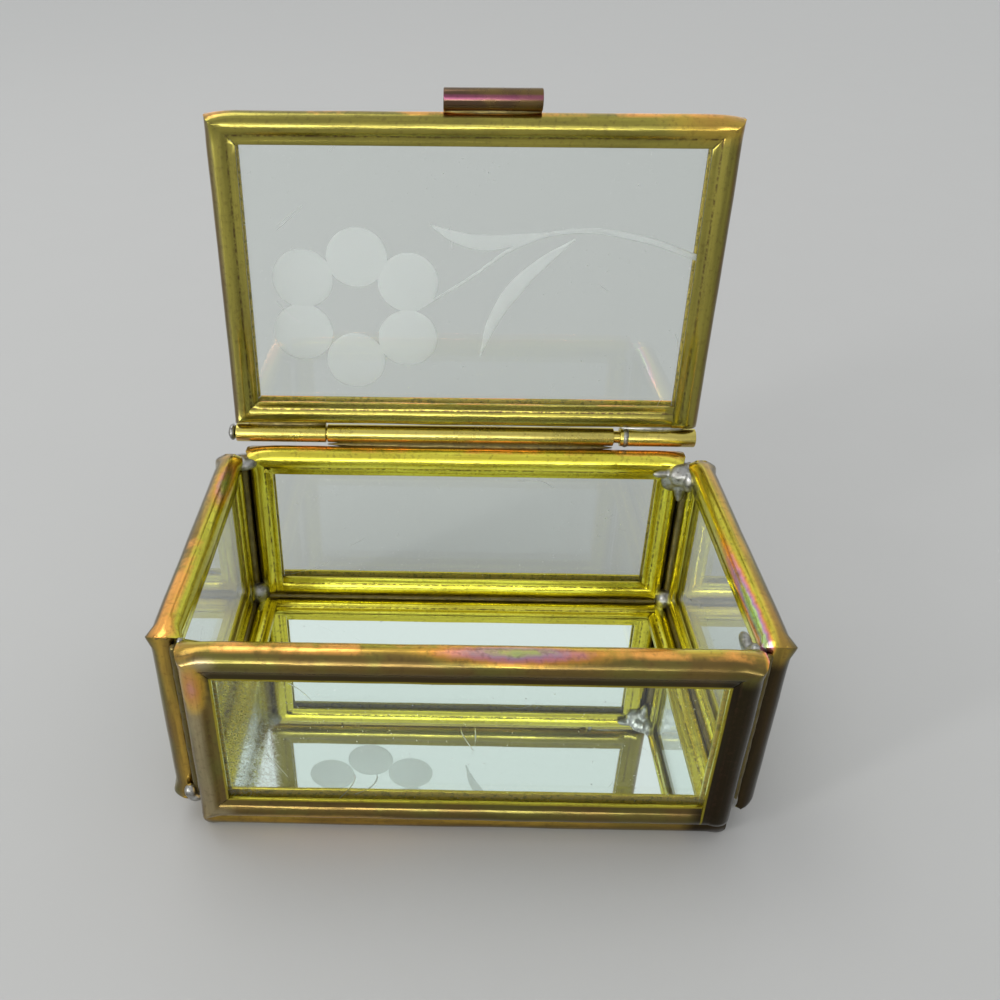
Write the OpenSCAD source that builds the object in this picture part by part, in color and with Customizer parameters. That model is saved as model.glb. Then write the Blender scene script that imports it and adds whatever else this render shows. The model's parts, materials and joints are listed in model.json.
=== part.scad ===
// Small glass casket: six glass panels, each held in a folded brass strip, soldered
// together at the corners, with a hinged lid. Modelled with the lid standing open.

/* [Box] */
// Width inside, between the two side panels
inner_w = 77.2; // [60:0.2:120]
// Depth inside, between the front and back panels
inner_d = 47; // [38:0.5:80]
// Height of the four wall panels
wall_h = 32; // [20:0.5:60]
// Gap between a side panel and the ends of the front and back panels
corner_gap = 0.3; // [0.1:0.05:0.6]
// How far the side panels reach past the inside of the front and back panels
corner_lap = 0.3; // [0.1:0.05:0.6]

/* [Brass strip] */
// Diameter of the strip's rolled back
strip_od = 4.2; // [4.2:0.1:5.2]
// Thickness of the brass sheet
strip_t = 0.4; // [0.3:0.05:0.5]
// Width of the strip's face, from its rolled back to its lip
face_w = 4.6; // [4.4:0.1:6]
// How far the strip's rolled back laps over itself at a folded corner
fold_lap = 0.05; // [0.02:0.01:0.1]
// Width of the slit between two folded lips at a corner
notch_w = 0.15; // [0.1:0.05:0.3]
// Gap where the two ends of a strip meet
butt_gap = 0.1; // [0.05:0.05:0.3]

/* [Glass] */
// Thickness of every pane and of the mirror
glass_t = 2.5; // [1.8:0.1:2.7]
// Play between a pane and the strip around it
glass_fit = 0.1; // [0.05:0.05:0.15]

/* [Base] */
// How far the base reaches under each side panel
base_lap_w = 0.8; // [0.4:0.1:2]
// How far the base reaches under the front and back panels
base_lap_d = 1.5; // [0.8:0.1:2]
// How far forward of the middle the base was soldered on
base_shift = 0.8; // [0:0.1:1]
// Gap between the base strip and the front panel's strip
base_seat_gap = 0.15; // [0.05:0.05:0.3]
// Depth of the flat that is worn on the base strip's underside
base_flat = 0.15; // [0.1:0.05:0.25]

/* [Lid] */
// How far the lid reaches past the inside of each side panel
lid_lap_w = 1.5; // [0.8:0.1:2.2]
// How far the lid reaches past the inside of the front and back panels
lid_lap_d = 2.4; // [1.6:0.1:3]
// Gap between the closed lid and the strips it rests on
lid_rest_gap = 0.12; // [0.05:0.01:0.3]
// How far the open lid leans back from upright, in degrees
lid_lean = 1.5; // [0.5:0.5:8]

/* [Hinge] */
// Diameter of the hinge pin
pin_d = 2.2; // [1.4:0.1:2.6]
// Clearance around the pin, on the radius
pin_clear = 0.05; // [0.03:0.01:0.08]
// Wall of the rolled hinge tubes
knuckle_t = 0.5; // [0.4:0.05:0.7]
// Length of the middle hinge tube, which belongs to the box
body_knuckle_l = 50; // [30:1:60]
// Place of the middle hinge tube's centre across the box
body_knuckle_x = 0.9; // [-4:0.1:4]
// Gap between the left and the middle hinge tube
knuckle_gap_left = 0.2; // [0.1:0.05:1]
// Gap between the middle and the right hinge tube
knuckle_gap_right = 1.1; // [0.1:0.05:1.5]
// Gap between the hinge tubes and the lid's strip, bridged by solder
knuckle_lid_gap = 0.35; // [0.2:0.05:0.5]
// Gap between the hinge tubes and the back panel's strip, bridged by solder
knuckle_seam_gap = 0.6; // [0.4:0.05:1]

/* [Lift tab] */
// Length of the tube that lifts the lid
tab_l = 14.6; // [8:0.2:30]
// Place of the lift tab's centre across the lid
tab_x = 2.8; // [-10:0.2:10]
// Outer diameter of the lift tab
tab_od = 3.3; // [2.4:0.1:4]
// Bore of the lift tab
tab_bore = 2.3; // [1.2:0.1:2.3]
// Gap between the lift tab and the lid's strip, bridged by solder
tab_gap = 0.1; // [0.05:0.05:0.3]

/* [Solder] */
// Radius of the solder lumps in the corners
lump_r = 2; // [1.8:0.05:2.2]
// Height of the solder lumps in the corners
lump_h = 4; // [2:0.2:5]
// Depth of the upper solder lumps' crown below the wall's top
lump_drop = 0.4; // [0.3:0.1:1]
// Height of the lower solder lumps' foot above the base strip
lump_lift = 0.1; // [0.05:0.05:0.5]
// Width of the solder beads along the hinge and the lift tab
bead_w = 1.7; // [1:0.1:2]
// Radius of the solder cap on the pin's end
cap_r = 1.45; // [1.2:0.05:1.6]

/* [Cut flower] */
// Radius of each frosted disc
disc_r = 4.9; // [3:0.1:6]
// Radius of the ring that the discs' centres lie on
disc_ring_r = 9.4; // [6:0.1:12]
// Number of frosted discs
disc_n = 6; // [5:1:8]
// Flower centre, left of the lid's middle
flower_x = 18.5; // [10:0.1:24]
// Flower centre, towards the hinge from the lid's middle
flower_y = 5.1; // [0:0.1:8]
// Depth of the cuts in the glass
cut_depth = 0.2; // [0.1:0.05:0.4]

/* [Hidden] */
$fn = 128;
BRASS = [0.78, 0.66, 0.24];
DARK_BRASS = [0.45, 0.3, 0.2];
SOLDER = [0.68, 0.69, 0.7];
GLASS = [0.8, 0.88, 0.86, 0.35];
MIRROR = [0.84, 0.9, 0.88];

// Strip section: lip faces inside and outside, and where the lips leave the rolled back
strip_r = strip_od / 2;
lip_in = glass_t / 2 + glass_fit;
lip_out = lip_in + strip_t;
crease = strip_r + sqrt(strip_r * strip_r - lip_out * lip_out);
// Where a run starts at a folded corner, and where it stops short of a crossing run
fold_start = -fold_lap;
butt_end = -face_w - butt_gap;
// Distance from the strip's back to the pane's edge, which sits inside the rolled back
pane_bed_r = strip_r - strip_t - glass_fit;
pane_inset = strip_r - sqrt(pane_bed_r * pane_bed_r - glass_t * glass_t / 4);

// Outside lengths of the panels
front_l = inner_w - 2 * corner_gap;
side_l = inner_d + 2 * corner_lap;
base_w = inner_w + 2 * base_lap_w;
base_d = inner_d + 2 * base_lap_d;
lid_w = inner_w + 2 * lid_lap_w;
lid_d = inner_d + 2 * lid_lap_d;

// Centre planes of the walls and of the base
wall_y = inner_d / 2 + strip_r;
wall_x = inner_w / 2 + strip_r;
base_z = strip_r - base_flat;
base_front_y = base_d / 2 + base_shift - strip_r;
seat_reach = strip_od + base_seat_gap;
seat_rise = sqrt(seat_reach * seat_reach - pow(wall_y - base_front_y, 2));
wall_bottom = base_z + seat_rise - strip_r;
wall_top = wall_bottom + wall_h;

// The closed lid rests between the rolled backs of the walls
lid_edge_y = lid_d / 2 - strip_r;
lid_reach = strip_od + lid_rest_gap;
lid_z = wall_top - strip_r
    + sqrt(lid_reach * lid_reach - pow(wall_y - inner_d / 2 - max(lid_lap_d, lid_lap_w) + strip_r, 2));

// The hinge axis stands off the lid's and the back panel's strips by their solder gaps
knuckle_r = pin_d / 2 + pin_clear + knuckle_t;
hinge_y = lid_edge_y + strip_r + knuckle_r + knuckle_lid_gap;
seam_reach = strip_r + knuckle_r + knuckle_seam_gap;
hinge_z = wall_top - strip_r + sqrt(seam_reach * seam_reach - pow(hinge_y - wall_y, 2));
hinge_left = -lid_w / 2;
hinge_right = lid_w / 2;
body_knuckle_left = body_knuckle_x - body_knuckle_l / 2;
body_knuckle_right = body_knuckle_x + body_knuckle_l / 2;
left_tube_l = body_knuckle_left - knuckle_gap_left - hinge_left;
right_tube_l = hinge_right - body_knuckle_right - knuckle_gap_right;

// Lift tab's axis on the closed lid
tab_y = -(lid_edge_y + strip_r + tab_gap + tab_od / 2);

// Solder lumps sit in the notch between two panels at each corner
notch_x = (wall_x + front_l / 2 - strip_r) / 2;
notch_y = (wall_y + side_l / 2 - strip_r) / 2;
notch_out = 0.55;

// Section of the strip: rolled back at x = 0, lips towards +x
module strip_section() {
    difference() {
        union() {
            translate([strip_r, 0]) circle(r = strip_r);
            translate([strip_r, -lip_out]) square([face_w - strip_r, 2 * lip_out]);
        }
        translate([strip_r, 0]) circle(r = strip_r - strip_t);
        translate([strip_r, -lip_in]) square([face_w, 2 * lip_in]);
    }
}

// One straight run along x, back at y = 0; each end is cut from its back to its lip
module strip_run(start_back, start_lip, end_back, end_lip) {
    intersection() {
        translate([min(start_back, start_lip), 0, 0])
            rotate([90, 0, 90])
                linear_extrude(max(end_back, end_lip) - min(start_back, start_lip)) strip_section();
        linear_extrude(2 * strip_od, center = true)
            polygon([
                [start_back, -strip_od], [start_back, 0], [start_lip, face_w], [start_lip, 2 * face_w],
                [end_lip, 2 * face_w], [end_lip, face_w], [end_back, 0], [end_back, -strip_od]
            ]);
    }
}

// The room along x that a run's pinched start keeps to, rounded like the strip's back
module rounded_start(start, length) {
    translate([start + strip_r, -face_w, 0]) rotate([-90, 0, 0]) cylinder(h = 3 * face_w, r = strip_r);
    translate([start + strip_r, -face_w, -strip_od]) cube([length, 3 * face_w, 2 * strip_od]);
}

// The slit between two lips at a folded corner, with the corner at the origin
module lip_notch() {
    rotate(45)
        translate([crease * sqrt(2), -notch_w / 2, -strip_od])
            cube([2 * face_w, notch_w, 2 * strip_od]);
}

// A strip folded round a pane of w by h, lying flat: three folded corners, and
// the two ends meeting at the corner at +x, -y
module strip_frame(w, h) {
    difference() {
        union() {
            translate([0, -h / 2, 0])
                strip_run(fold_start - w / 2, fold_start + face_w - w / 2, butt_end + w / 2, butt_end + w / 2);
            translate([w / 2, 0, 0])
                rotate(90)
                    intersection() {
                        strip_run(-h / 2, -h / 2, h / 2, h / 2 - face_w);
                        rounded_start(-h / 2, h);
                    }
            translate([0, h / 2, 0])
                rotate(180)
                    strip_run(fold_start - w / 2, fold_start + face_w - w / 2, w / 2, w / 2 - face_w);
            translate([-w / 2, 0, 0])
                rotate(270)
                    strip_run(fold_start - h / 2, fold_start + face_w - h / 2, h / 2, h / 2 - face_w);
        }
        translate([-w / 2, -h / 2, 0]) lip_notch();
        translate([-w / 2, h / 2, 0]) rotate(270) lip_notch();
        translate([w / 2, h / 2, 0]) rotate(180) lip_notch();
    }
}

// The pane that a strip frame of w by h holds
module pane(w, h) {
    cube([w - 2 * pane_inset, h - 2 * pane_inset, glass_t], center = true);
}

// Places of the panels, from lying flat round the origin
module place_base() {
    translate([0, -base_shift, base_z]) children();
}

module place_front() {
    translate([0, -wall_y, wall_bottom + wall_h / 2]) rotate([90, 0, 0]) children();
}

module place_back() {
    translate([0, wall_y, wall_bottom + wall_h / 2]) rotate([90, 0, 0]) mirror([1, 0, 0]) children();
}

module place_left() {
    translate([-wall_x, 0, wall_bottom + wall_h / 2]) rotate([90, 0, 90]) children();
}

module place_right() {
    translate([wall_x, 0, wall_bottom + wall_h / 2]) rotate([90, 0, 90]) mirror([1, 0, 0]) children();
}

// Swings pieces of the closed lid up about the hinge axis
module swing_open() {
    translate([0, hinge_y, hinge_z])
        rotate([-90 - lid_lean, 0, 0])
            translate([0, -hinge_y, -hinge_z]) children();
}

// The foot at z = 0 of a solder lump that fills the notch in the corner at sx, sy
module corner_lump(sx, sy) {
    linear_extrude(lump_h)
        difference() {
            translate([sx * (notch_x + notch_out), sy * (notch_y + notch_out)]) circle(r = lump_r);
            translate([sx * (front_l / 2 - strip_r), sy * wall_y]) circle(r = strip_r);
            translate([sx * wall_x, sy * (side_l / 2 - strip_r)]) circle(r = strip_r);
        }
}

// The low and the high solder lump in the corner at sx, sy
module corner_solder(sx, sy) {
    color(SOLDER) {
        translate([0, 0, base_z + strip_r + lump_lift]) corner_lump(sx, sy);
        translate([0, 0, wall_top - lump_drop - lump_h]) corner_lump(sx, sy);
    }
}

// A hinge tube along x
module hinge_tube(left, length) {
    translate([left, hinge_y, hinge_z])
        rotate([0, 90, 0])
            difference() {
                cylinder(h = length, r = knuckle_r);
                translate([0, 0, -1]) cylinder(h = length + 2, r = pin_d / 2 + pin_clear);
            }
}

// Solder between two round rods along x: rod a of radius ra at [y, z], rod b of radius rb
module solder_bead(a, ra, b, rb, left, length) {
    color(SOLDER)
        translate([left, 0, 0])
            rotate([90, 0, 90])
                linear_extrude(length)
                    difference() {
                        translate(a)
                            rotate(atan2(b[1] - a[1], b[0] - a[0]))
                                translate([0, -bead_w / 2]) square([norm(b - a), bead_w]);
                        translate(a) circle(r = ra);
                        translate(b) circle(r = rb);
                    }
}

// The cut flower, seen from above the lid's outer face, which is at z = 0
module flower_cut() {
    dimple_r = (disc_r * disc_r + cut_depth * cut_depth) / (2 * cut_depth);
    for (i = [0 : disc_n - 1])
        translate([
            -flower_x + disc_ring_r * sin(i * 360 / disc_n),
            flower_y + disc_ring_r * cos(i * 360 / disc_n),
            dimple_r - cut_depth
        ])
            sphere(r = dimple_r);
}

module base_came() {
    color(BRASS)
        difference() {
            place_base() mirror([1, 0, 0]) strip_frame(base_w, base_d);
            translate([-base_w, -base_d, -strip_od]) cube([2 * base_w, 2 * base_d, strip_od]);
        }
}

module base_mirror() {
    color(MIRROR) place_base() pane(base_w, base_d);
}

module front_came() {
    color(BRASS) place_front() strip_frame(front_l, wall_h);
}

module front_pane() {
    color(GLASS) place_front() pane(front_l, wall_h);
}

module back_came() {
    color(BRASS) place_back() strip_frame(front_l, wall_h);
}

module back_pane() {
    color(GLASS) place_back() pane(front_l, wall_h);
}

module left_came() {
    color(BRASS) place_left() strip_frame(side_l, wall_h);
}

module left_pane() {
    color(GLASS) place_left() pane(side_l, wall_h);
}

module right_came() {
    color(BRASS) place_right() strip_frame(side_l, wall_h);
}

module right_pane() {
    color(GLASS) place_right() pane(side_l, wall_h);
}

module hinge_body_tube() {
    color(BRASS) hinge_tube(body_knuckle_left, body_knuckle_l);
}

module hinge_seam_solder() {
    solder_bead([wall_y, wall_top - strip_r], strip_r, [hinge_y, hinge_z], knuckle_r,
        body_knuckle_left, body_knuckle_l);
}

module lid_came() {
    color(BRASS) swing_open() translate([0, 0, lid_z]) mirror([0, 1, 0]) strip_frame(lid_w, lid_d);
}

module lid_pane() {
    color(GLASS)
        swing_open()
            translate([0, 0, lid_z])
                difference() {
                    pane(lid_w, lid_d);
                    translate([0, 0, glass_t / 2]) flower_cut();
                }
}

module hinge_left_tube() {
    color(BRASS) swing_open() hinge_tube(hinge_left, left_tube_l);
}

module hinge_right_tube() {
    color(BRASS) swing_open() hinge_tube(hinge_right - right_tube_l, right_tube_l);
}

module hinge_pin() {
    color(BRASS)
        translate([hinge_left, hinge_y, hinge_z])
            rotate([0, 90, 0]) cylinder(h = lid_w - knuckle_t, r = pin_d / 2);
}

module pin_end_solder() {
    color(SOLDER)
        translate([hinge_left, hinge_y, hinge_z])
            intersection() {
                sphere(r = cap_r);
                translate([-2 * cap_r, -cap_r, -cap_r]) cube([2 * cap_r, 2 * cap_r, 2 * cap_r]);
            }
}

module hinge_left_solder() {
    swing_open()
        solder_bead([lid_edge_y, lid_z], strip_r, [hinge_y, hinge_z], knuckle_r, hinge_left + strip_r,
            left_tube_l - strip_r);
}

module hinge_right_solder() {
    swing_open()
        solder_bead([lid_edge_y, lid_z], strip_r, [hinge_y, hinge_z], knuckle_r,
            hinge_right - right_tube_l, right_tube_l - strip_r);
}

module lift_tab() {
    color(DARK_BRASS)
        swing_open()
            translate([tab_x - tab_l / 2, tab_y, lid_z])
                rotate([0, 90, 0])
                    difference() {
                        cylinder(h = tab_l, r = tab_od / 2);
                        translate([0, 0, -1]) cylinder(h = tab_l + 2, r = tab_bore / 2);
                    }
}

module lift_tab_solder() {
    swing_open()
        solder_bead([-lid_edge_y, lid_z], strip_r, [tab_y, lid_z], tab_od / 2, tab_x - tab_l / 2, tab_l);
}

base_came();
base_mirror();
front_came();
front_pane();
back_came();
back_pane();
left_came();
left_pane();
right_came();
right_pane();
corner_solder(-1, -1);  // front_left_solder
corner_solder(1, -1);  // front_right_solder
corner_solder(-1, 1);  // back_left_solder
corner_solder(1, 1);  // back_right_solder
hinge_body_tube();
hinge_seam_solder();
lid_came();
lid_pane();
hinge_left_tube();
hinge_right_tube();
hinge_pin();
pin_end_solder();
hinge_left_solder();
hinge_right_solder();
lift_tab();
lift_tab_solder();
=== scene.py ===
"""Looks of a small glass casket: folded brass strips, panes, mirror, hinge, lift tab and solder."""

import json
import math

import bpy
from bpy.props import FloatProperty, FloatVectorProperty, IntProperty, PointerProperty
from mathutils import Matrix, Vector


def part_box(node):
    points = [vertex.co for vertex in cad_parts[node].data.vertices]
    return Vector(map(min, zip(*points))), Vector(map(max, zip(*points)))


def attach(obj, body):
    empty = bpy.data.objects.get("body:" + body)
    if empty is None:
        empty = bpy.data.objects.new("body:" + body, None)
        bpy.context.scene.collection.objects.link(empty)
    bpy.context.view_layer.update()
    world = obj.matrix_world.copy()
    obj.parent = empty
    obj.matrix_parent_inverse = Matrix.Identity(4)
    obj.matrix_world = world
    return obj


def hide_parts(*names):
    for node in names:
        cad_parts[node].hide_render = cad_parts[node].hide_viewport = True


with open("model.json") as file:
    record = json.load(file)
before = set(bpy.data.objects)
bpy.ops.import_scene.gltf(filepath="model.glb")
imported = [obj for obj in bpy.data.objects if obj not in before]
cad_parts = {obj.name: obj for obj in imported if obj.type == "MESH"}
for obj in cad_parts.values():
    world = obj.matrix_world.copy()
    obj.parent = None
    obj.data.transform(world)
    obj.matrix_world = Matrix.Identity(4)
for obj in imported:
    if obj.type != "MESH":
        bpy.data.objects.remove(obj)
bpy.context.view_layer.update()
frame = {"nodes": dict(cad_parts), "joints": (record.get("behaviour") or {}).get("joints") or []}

bl_info = {
    "name": "Glass Casket",
    "version": (1, 0, 0),
    "blender": (4, 5, 0),
    "location": "View3D > Sidebar > Casket",
    "description": "Builds the finished pieces of a small glass casket round its construction",
    "category": "Add Mesh",
}

MM = 0.001
HINGE = next(joint for joint in frame["joints"] if joint["name"] == "lid_hinge")
LEAN = math.radians(HINGE["range_deg"][1] - 90)
SIDES = ("front", "back", "left", "right")
UPRIGHT = math.pi / 2
LID_TURN = (-UPRIGHT - LEAN, 0, 0)
SHARP = math.radians(50)


def cad_size(node):
    """Size of a CAD node along each axis, in metres."""
    low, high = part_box(node)
    return high - low


def cad_middle(node):
    """Middle of a CAD node's box, in metres."""
    low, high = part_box(node)
    return (low + high) / 2


STRIP_R = cad_size("front_came").y / 2
TUBE_R = cad_size("hinge_body_tube").y / 2
TAB_R = cad_size("lift_tab").y / 2


# Sizes and colours

def length(name, millimetres, description):
    """A length that shows in the scene's unit."""
    return FloatProperty(
        name=name, description=description, default=millimetres * MM, min=0.0,
        unit="LENGTH", subtype="DISTANCE", precision=5,
    )


def number(name, value, description, **limits):
    """A plain number."""
    return FloatProperty(name=name, description=description, default=value, **limits)


def angle(name, degrees, description):
    """An angle that shows in degrees."""
    return number(name, math.radians(degrees), description, subtype="ANGLE")


def count(name, value, description, low, high):
    """A whole number."""
    return IntProperty(name=name, description=description, default=value, min=low, max=high)


def colour(name, rgb, description):
    """A colour picker."""
    return FloatVectorProperty(
        name=name, description=description, default=rgb, size=3, min=0.0, max=1.0, subtype="COLOR",
    )


class StripSizes(bpy.types.PropertyGroup):
    """Sizes of the folded brass strip."""

    face_width: length("Face width", 4.6, "Width of the strip from its rolled back to its lip")
    sheet: length("Sheet", 0.4, "Thickness of the brass sheet")
    lip_face: length("Lip face", 1.75, "Distance of the lips' outer faces from the strip's middle")
    slit: length("Slit", 0.16, "Width of the slit between two lips at a folded corner")
    butt_gap: length("Butt gap", 0.1, "Gap where the two ends of a strip meet")
    fold_lap: length("Fold lap", 0.05, "How far the strip laps over itself at a folded corner")
    wobble: length("Wobble", 0.09, "How far hand work moves the strip's faces")
    wobble_size: length("Wobble size", 9.0, "Distance from one dent to the next")
    droop: length("Droop", 0.5, "How far the far tips of a folded strip droop")
    lift: length("Lift", 0.1, "How far its near tips are pressed in")
    pinch_side: length("Side pinch", 0.05, "How far the tips are pressed sideways")
    base_side: length("Base side pinch", 0.9, "How far the base strip's tips are pressed sideways")
    pinch_reach: length("Pinch reach", 4.6, "How far from its tip a folded corner is pressed in")
    end_fullness: number(
        "End fullness", 3.0, "How late a square end closes: 2 is round, more is squarer", min=2.0, max=8.0
    )
    tip_reach: length("Tip reach", 0.8, "How much of a corner's tip is pressed as one")
    tip_fullness: number(
        "Tip fullness", 0.48, "How much squarer than its section a corner's tip is", min=0.0, max=1.5
    )
    tip_fill: length("Tip fill", 2.7, "How far from a corner's tip it is squarer")
    lip_round: length("Lip round", 0.07, "Rounding of the sheet's cut edges")
    roll_sides: count("Roll sides", 48, "Sides of the rolled back's full circle", 16, 96)
    step: length("Step", 1.6, "Distance between two rings along a strip")


class GlassSizes(bpy.types.PropertyGroup):
    """Sizes of the cut flower in the lid's pane."""

    petal_radius: length("Petal radius", 4.9, "Radius of each frosted disc")
    petal_ring: length("Petal ring", 9.4, "Radius of the ring on which the discs' middles lie")
    petal_depth: length("Petal depth", 0.2, "Depth of the discs' middles")
    leaf_width: length("Leaf width", 2.6, "Width of a leaf at its belly")
    stem_width: length("Stem width", 1.0, "Width of the stem at its broad end")
    cut_depth: length("Cut depth", 0.14, "Depth of the stem's and leaves' cuts")
    arris: length("Arris", 0.1, "Dulled edge of the pane")
    flower_left: length("Flower left", 18.5, "Distance of the flower's middle left of the lid's middle")
    flower_low: length("Flower low", 5.1, "Distance of the flower's middle towards the hinge")


class HingeSizes(bpy.types.PropertyGroup):
    """Sizes of the finish on the hinge, the lift tab and the solder."""

    tube_round: length("Tube round", 0.16, "Rounding of the tubes' ends")
    tube_bore: length("Tube bore", 1.15, "Radius of the hinge tubes' bore")
    tab_bore: length("Tab bore", 1.15, "Radius of the lift tab's bore")
    bead_radius: length("Bead radius", 0.85, "Half the width of a solder bead")
    base_seam: length("Base seam", 0.62, "Half the width of the seam under the walls")
    front_seam: length("Front seam", 0.55, "Half the width of the solder that runs down a front corner")
    back_seam: length("Back seam", 1.1, "Half the width of the solder that runs down a back corner")
    collar: length("Collar", 1.85, "Radius of the solder round the right tube's end")
    collar_width: length("Collar width", 0.95, "Half the width of that solder")
    lump_noise: length("Lump noise", 0.13, "How far a solder lump's surface is uneven")
    lump_grain: length("Lump grain", 0.14, "Size of the faces on a solder lump")
    lump_flow: count("Lump flow", 18, "How far the drops of a lump have run together", 0, 40)


class CasketColours(bpy.types.PropertyGroup):
    """Colours of the finishes."""

    inner_brass: colour("Inner brass", (0.78, 0.72, 0.085), "Bright brass that looks into the box")
    # Used for streaks inside, and for a painted highlight along the lips' edges outside.
    streak_and_lip_highlight_brass: colour("Streak and lip highlight brass", (0.58, 0.49, 0.045), "Streaks in the bright brass")
    lid_brass: colour("Lid brass", (0.34, 0.30, 0.062), "Brass on the lid's underside")
    fold_brass: colour("Fold brass", (0.80, 0.60, 0.10), "Dull brass inside the fold")
    # Darker outside than inside: part handled tarnish, part painted shade for the dark surroundings that the
    # outer faces reflect.
    outer_brass: colour("Outer brass", (0.21, 0.145, 0.042), "Handled brass outside")
    # Painted highlight: a pale stripe along the shoulders of the strips' left ends.
    painted_highlight_brass: colour("Highlight brass", (0.58, 0.50, 0.30), "Pale brass at the strips' left ends")
    # Worn bright along the back's crown, with a painted highlight there as well.
    worn_and_highlight_brass: colour("Worn and highlight brass", (0.70, 0.44, 0.075), "Brass rubbed bright along the strip's back")
    olive_brass: colour("Olive brass", (0.20, 0.18, 0.045), "Olive patches in the lacquer")
    # Heat tint, and painted sky reflection: only faces that look up get it.
    pink_tint_and_sheen_brass: colour("Pink brass", (1.0, 0.46, 0.11), "Orange-pink patches where the strip was heated")
    # Painted shade: near-black laid on the upper rails' flanges and in the right front corner, where shade
    # falls.
    painted_shade_brass: colour("Painted shade brass", (0.020, 0.016, 0.010), "Lacquer burnt nearly black")
    dark_brass: colour("Dark brass", (0.075, 0.04, 0.025), "Dirt and burnt lacquer")
    tab_brass: colour("Tab brass", (0.105, 0.065, 0.04), "The darkened lift tab")
    # Painted highlight: the magenta band on the lift tab's upper front.
    tab_glint: colour("Tab glint", (0.36, 0.08, 0.20), "Magenta tint on the lift tab")
    tube_brass: colour("Tube brass", (0.60, 0.51, 0.13), "Brass of the hinge tubes")
    tube_blotch: colour("Tube blotches", (0.34, 0.29, 0.07), "Dull blotches on the hinge tubes")
    # Painted reflection: the orange band on the tubes' lower front.
    tube_glint: colour("Tube glint", (0.66, 0.36, 0.15), "Orange tint on the hinge tubes")
    solder: colour("Solder", (0.37, 0.37, 0.355), "Grey solder")
    solder_cloud: colour("Solder clouds", (0.13, 0.125, 0.10), "Dull clouds on the grey solder")
    solder_pits: colour("Solder pits", (0.05, 0.045, 0.04), "Pits in all solder")
    browned_solder: colour("Browned solder", (0.15, 0.12, 0.045), "Solder under brown lacquer")
    browned_cloud: colour("Browned clouds", (0.11, 0.085, 0.03), "Darker clouds on it")
    glass: colour("Glass", (0.90, 0.945, 0.92), "Tint of the panes")
    dust: colour("Dust", (0.70, 0.73, 0.72), "Dust and hairlines on the panes")
    frost: colour("Frost", (0.92, 0.94, 0.93), "Ground glass of the flower")
    frost_grain: colour("Frost grain", (0.83, 0.85, 0.84), "Darker grain in the ground glass")
    mirror: colour("Mirror", (0.83, 0.90, 0.87), "Silvered floor")
    mirror_speck: colour("Mirror specks", (0.03, 0.03, 0.03), "Small black specks in the silvering")
    table: colour("Table", (0.46, 0.46, 0.45), "The floor it stands on")
    table_grain: colour("Table grain", (0.42, 0.42, 0.41), "Faint darker grain in that floor")


class StageSizes(bpy.types.PropertyGroup):
    """Place of the camera and strength of the lights."""

    eye: FloatVectorProperty(
        name="Eye", description="Place of the camera", default=(-0.004054, -0.11874, 0.119773),
        subtype="TRANSLATION", unit="LENGTH", precision=5,
    )
    yaw: angle("Yaw", -0.969, "Turn to the right")
    pitch: angle("Pitch", 31.52, "Tilt down")
    roll: angle("Roll", -0.283, "Turn of the frame")
    lens: number("Lens", 34.44, "Focal length in millimetres")
    shift_x: number("Shift X", 0.0725, "Sideways shift of the frame")
    shift_y: number("Shift Y", -0.0291, "Upward shift of the frame")
    window_power: number("Window", 1.2, "Power of the broad light behind", unit="POWER")
    side_power: number("Side strip", 2.0, "Power of the left light", unit="POWER")
    front_glow: number("Front glow", 3.2, "Strength of the low band of light in front")
    front_line: number("Front line", 13.0, "Strength of the bright line in that band")
    sky: number("Sky", 0.92, "Strength of the light from all round")
    sky_front: colour("Front sky", (0.76, 0.76, 0.77), "Light from the camera's side")
    sky_back: colour("Back sky", (0.97, 0.99, 1.0), "Light from behind and above")


GROUPS = {
    "casket_strip": StripSizes,
    "casket_glass": GlassSizes,
    "casket_hinge": HingeSizes,
    "casket_colours": CasketColours,
    "casket_stage": StageSizes,
}


def sizes(group):
    """One of the scene's property groups."""
    return getattr(bpy.context.scene, group)


# Mesh helpers

def clear_selection():
    """Leaves nothing selected, so that an operator meets only what comes after."""
    if bpy.context.object and bpy.context.object.mode != "OBJECT":
        leave_edit_mode()
    bpy.ops.object.select_all(action="DESELECT")


def activate(*pieces):
    """Selects the pieces and makes the first one active."""
    clear_selection()
    for piece in pieces:
        piece.select_set(True)
    bpy.context.view_layer.objects.active = pieces[0]


def leave_edit_mode():
    """Goes back to object mode, which writes the edited mesh."""
    bpy.ops.object.mode_set(mode="OBJECT")


def edit_all(piece):
    """Opens a piece in edit mode with all of it selected."""
    activate(piece)
    bpy.ops.object.mode_set(mode="EDIT")
    bpy.ops.mesh.select_all(action="SELECT")


def added(name):
    """Names the primitive that was just added."""
    piece = bpy.context.object
    piece.name = name
    piece.data.name = name
    return piece


def pick(piece, test, kind="VERT"):
    """Selects the vertices, edges or faces that pass a test, and stays in edit mode."""
    bpy.ops.object.mode_set(mode="EDIT")
    bpy.ops.mesh.select_mode(type=kind)
    bpy.ops.mesh.select_all(action="DESELECT")
    leave_edit_mode()
    mesh = piece.data
    for part in {"VERT": mesh.vertices, "EDGE": mesh.edges, "FACE": mesh.polygons}[kind]:
        part.select = test(part)
    bpy.ops.object.mode_set(mode="EDIT")


def divide_long_edges(piece, axis, long, step):
    """Cuts the edges that run along an axis into even steps."""
    ends = piece.data.vertices

    def is_long(edge):
        first, last = (ends[index].co[axis] for index in edge.vertices)
        return abs(first - last) > long / 2

    pick(piece, is_long, "EDGE")
    bpy.ops.mesh.subdivide(number_cuts=round(long / step))
    leave_edit_mode()


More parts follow.
